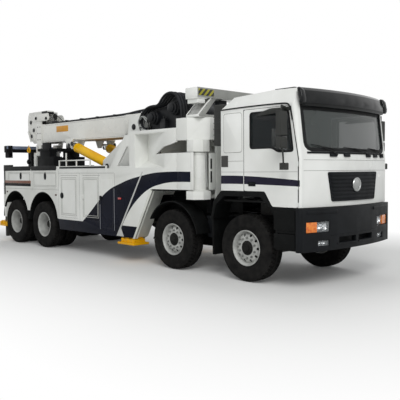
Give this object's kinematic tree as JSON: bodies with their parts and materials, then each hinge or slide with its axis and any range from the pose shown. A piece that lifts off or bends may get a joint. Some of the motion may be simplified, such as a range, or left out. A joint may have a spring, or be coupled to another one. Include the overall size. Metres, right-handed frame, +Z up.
{
  "type": "heavy recovery tow truck",
  "caption": "Four-axle cab-over recovery truck with a lifting telescopic boom, winches, side lockers, a folding underlift and sliding stabiliser legs.",
  "frame": {"origin": "on the ground under the middle of the truck's overall box", "axes": "+X forward, +Y to the driver's left, +Z up"},
  "size_m": [10.5848, 3, 3.447],
  "materials": {
    "white_paint": "gloss body paint",
    "yellow_paint": "gloss machine paint",
    "black_paint": "satin chassis paint",
    "wheel_paint": "silver-grey wheel paint",
    "black_plastic": "moulded, fine grain",
    "smoked_plastic": "smoked, glossy",
    "tyre_rubber": "road tyre",
    "clear_glass": "tinted automotive glass",
    "lamp_glass": "clear lamp lens",
    "trim_fabric": "woven seat cloth and soft trim",
    "cast_steel": "cast and forged steel"
  },
  "bodies": {
    "chassis": {"chassis_frame": "black_paint", "engine": "cast_steel", "front_axles": "cast_steel", "rear_axles": "cast_steel", "cab_shell": "white_paint", "cab_glass": "clear_glass", "cab_interior": "trim_fabric", "grille": "black_plastic", "sun_visor": "smoked_plastic", "bumper": "black_plastic", "front_lamps": "lamp_glass", "steps_and_guards": "black_plastic", "intake_stack": "black_paint", "lockers_right": "white_paint", "lockers_left": "white_paint", "work_deck": "white_paint", "tow_hooks": "yellow_paint", "boom_rest": "black_paint", "tower": "white_paint", "winches": "black_paint", "front_beam": "white_paint"},
    "knuckle_1_right": {"axle_1_right_knuckle": "cast_steel"},
    "wheel_1_right": {"axle_1_right_tyre": "tyre_rubber", "axle_1_right_rim": "wheel_paint"},
    "knuckle_1_left": {"axle_1_left_knuckle": "cast_steel"},
    "wheel_1_left": {"axle_1_left_tyre": "tyre_rubber", "axle_1_left_rim": "wheel_paint"},
    "knuckle_2_right": {"axle_2_right_knuckle": "cast_steel"},
    "wheel_2_right": {"axle_2_right_tyre": "tyre_rubber", "axle_2_right_rim": "wheel_paint"},
    "knuckle_2_left": {"axle_2_left_knuckle": "cast_steel"},
    "wheel_2_left": {"axle_2_left_tyre": "tyre_rubber", "axle_2_left_rim": "wheel_paint"},
    "wheels_3_right": {"axle_3_right_tyres": "tyre_rubber", "axle_3_right_rims": "wheel_paint"},
    "wheels_3_left": {"axle_3_left_tyres": "tyre_rubber", "axle_3_left_rims": "wheel_paint"},
    "wheels_4_right": {"axle_4_right_tyres": "tyre_rubber", "axle_4_right_rims": "wheel_paint"},
    "wheels_4_left": {"axle_4_left_tyres": "tyre_rubber", "axle_4_left_rims": "wheel_paint"},
    "cab_door_right": {"cab_door_right": "white_paint"},
    "locker_door_a_right": {"locker_door_a_right": "white_paint"},
    "locker_door_b_right": {"locker_door_b_right": "white_paint"},
    "cab_door_left": {"cab_door_left": "white_paint"},
    "locker_door_a_left": {"locker_door_a_left": "white_paint"},
    "locker_door_b_left": {"locker_door_b_left": "white_paint"},
    "boom": {"boom_base": "white_paint"},
    "boom_extension": {"boom_inner": "white_paint"},
    "lift_barrels": {"boom_cylinder_barrels": "yellow_paint"},
    "lift_rods": {"boom_cylinder_rods": "cast_steel"},
    "underlift_arm": {"underlift_arm": "white_paint"},
    "underlift_stinger": {"underlift_stinger": "black_paint"},
    "mid_leg_right": {"mid_leg_right": "yellow_paint"},
    "rear_leg_right": {"rear_leg_right": "yellow_paint"},
    "front_stabiliser_right": {"front_stabiliser_right": "white_paint"},
    "mid_leg_left": {"mid_leg_left": "yellow_paint"},
    "rear_leg_left": {"rear_leg_left": "yellow_paint"},
    "front_stabiliser_left": {"front_stabiliser_left": "white_paint"}
  },
  "joints": [
    {"name": "steer_1_right", "type": "hinge", "parent": "chassis", "child": "knuckle_1_right", "pos_m": [3.9525, -0.78, 0.55], "axis": [0, 0, 1], "range_deg": [-30, 30]},
    {"name": "wheel_1_right_spin", "type": "hinge", "parent": "knuckle_1_right", "child": "wheel_1_right", "pos_m": [3.9525, -1.018, 0.55], "axis": [0, 1, 0], "continuous": true},
    {"name": "steer_1_left", "type": "hinge", "parent": "chassis", "child": "knuckle_1_left", "pos_m": [3.9525, 0.78, 0.55], "axis": [0, 0, 1], "range_deg": [-30, 30]},
    {"name": "wheel_1_left_spin", "type": "hinge", "parent": "knuckle_1_left", "child": "wheel_1_left", "pos_m": [3.9525, 1.018, 0.55], "axis": [0, 1, 0], "continuous": true},
    {"name": "steer_2_right", "type": "hinge", "parent": "chassis", "child": "knuckle_2_right", "pos_m": [2.1525, -0.78, 0.55], "axis": [0, 0, 1], "range_deg": [-22.5, 22.5]},
    {"name": "wheel_2_right_spin", "type": "hinge", "parent": "knuckle_2_right", "child": "wheel_2_right", "pos_m": [2.1525, -1.018, 0.55], "axis": [0, 1, 0], "continuous": true},
    {"name": "steer_2_left", "type": "hinge", "parent": "chassis", "child": "knuckle_2_left", "pos_m": [2.1525, 0.78, 0.55], "axis": [0, 0, 1], "range_deg": [-22.5, 22.5]},
    {"name": "wheel_2_left_spin", "type": "hinge", "parent": "knuckle_2_left", "child": "wheel_2_left", "pos_m": [2.1525, 1.018, 0.55], "axis": [0, 1, 0], "continuous": true},
    {"name": "wheels_3_right_spin", "type": "hinge", "parent": "chassis", "child": "wheels_3_right", "pos_m": [-2.4475, -0.921, 0.55], "axis": [0, 1, 0], "continuous": true},
    {"name": "wheels_3_left_spin", "type": "hinge", "parent": "chassis", "child": "wheels_3_left", "pos_m": [-2.4475, 0.921, 0.55], "axis": [0, 1, 0], "continuous": true},
    {"name": "wheels_4_right_spin", "type": "hinge", "parent": "chassis", "child": "wheels_4_right", "pos_m": [-3.8475, -0.921, 0.55], "axis": [0, 1, 0], "continuous": true},
    {"name": "wheels_4_left_spin", "type": "hinge", "parent": "chassis", "child": "wheels_4_left", "pos_m": [-3.8475, 0.921, 0.55], "axis": [0, 1, 0], "continuous": true},
    {"name": "cab_door_right_hinge", "type": "hinge", "parent": "chassis", "child": "cab_door_right", "pos_m": [5.0575, -1.245, 2], "axis": [0, 0, 1], "range_deg": [0, 70]},
    {"name": "locker_door_a_right_hinge", "type": "hinge", "parent": "chassis", "child": "locker_door_a_right", "pos_m": [-1.6375, -1.25, 1.25], "axis": [0, 0, -1], "range_deg": [0, 110]},
    {"name": "locker_door_b_right_hinge", "type": "hinge", "parent": "chassis", "child": "locker_door_b_right", "pos_m": [-0.0475, -1.25, 1.25], "axis": [0, 0, 1], "range_deg": [0, 110]},
    {"name": "cab_door_left_hinge", "type": "hinge", "parent": "chassis", "child": "cab_door_left", "pos_m": [5.0575, 1.245, 2], "axis": [0, 0, -1], "range_deg": [0, 70]},
    {"name": "locker_door_a_left_hinge", "type": "hinge", "parent": "chassis", "child": "locker_door_a_left", "pos_m": [-1.6375, 1.25, 1.25], "axis": [0, 0, 1], "range_deg": [0, 110]},
    {"name": "locker_door_b_left_hinge", "type": "hinge", "parent": "chassis", "child": "locker_door_b_left", "pos_m": [-0.0475, 1.25, 1.25], "axis": [0, 0, -1], "range_deg": [0, 110]},
    {"name": "boom_hinge", "type": "hinge", "parent": "chassis", "child": "boom", "pos_m": [0.2125, 0, 2.75], "axis": [0, 1, 0], "range_deg": [0, 50]},
    {"name": "boom_slide", "type": "slide", "parent": "boom", "child": "boom_extension", "axis": [-1, 0, 0.0052], "range_m": [0, 3]},
    {"name": "lift_barrels_hinge", "type": "hinge", "parent": "chassis", "child": "lift_barrels", "pos_m": [-0.6675, 0, 1.92], "axis": [0, 1, 0], "range_deg": [0, 51.96]},
    {"name": "lift_rods_slide", "type": "slide", "parent": "lift_barrels", "child": "lift_rods", "axis": [-0.9521, 0, 0.3059], "range_m": [0, 1.031]},
    {"name": "underlift_hinge", "type": "hinge", "parent": "chassis", "child": "underlift_arm", "pos_m": [-5.1975, 0, 0.64], "axis": [0, -1, 0], "range_deg": [0, 95]},
    {"name": "underlift_slide", "type": "slide", "parent": "underlift_arm", "child": "underlift_stinger", "axis": [0, 0, 1], "range_m": [0, 1.2]},
    {"name": "mid_leg_right_slide", "type": "slide", "parent": "chassis", "child": "mid_leg_right", "axis": [-0.5, 0, -0.866], "range_m": [0, 0.39]},
    {"name": "rear_leg_right_slide", "type": "slide", "parent": "chassis", "child": "rear_leg_right", "axis": [0, 0, -1], "range_m": [0, 0.37]},
    {"name": "front_stabiliser_right_slide", "type": "slide", "parent": "chassis", "child": "front_stabiliser_right", "axis": [0, -1, 0], "range_m": [0, 0.9]},
    {"name": "mid_leg_left_slide", "type": "slide", "parent": "chassis", "child": "mid_leg_left", "axis": [-0.5, 0, -0.866], "range_m": [0, 0.39]},
    {"name": "rear_leg_left_slide", "type": "slide", "parent": "chassis", "child": "rear_leg_left", "axis": [0, 0, -1], "range_m": [0, 0.37]},
    {"name": "front_stabiliser_left_slide", "type": "slide", "parent": "chassis", "child": "front_stabiliser_left", "axis": [0, 1, 0], "range_m": [0, 0.9]}
  ],
  "couplings": [
    {"joint": "steer_1_left", "follows": "steer_1_right", "ratio": 1},
    {"joint": "steer_2_right", "follows": "steer_1_right", "ratio": 0.75},
    {"joint": "steer_2_left", "follows": "steer_1_right", "ratio": 0.75},
    {"joint": "lift_barrels_hinge", "follows": "boom_hinge", "ratio": 1.0292},
    {"joint": "lift_rods_slide", "follows": "boom_hinge", "m_per_rad": 1.17}
  ]
}
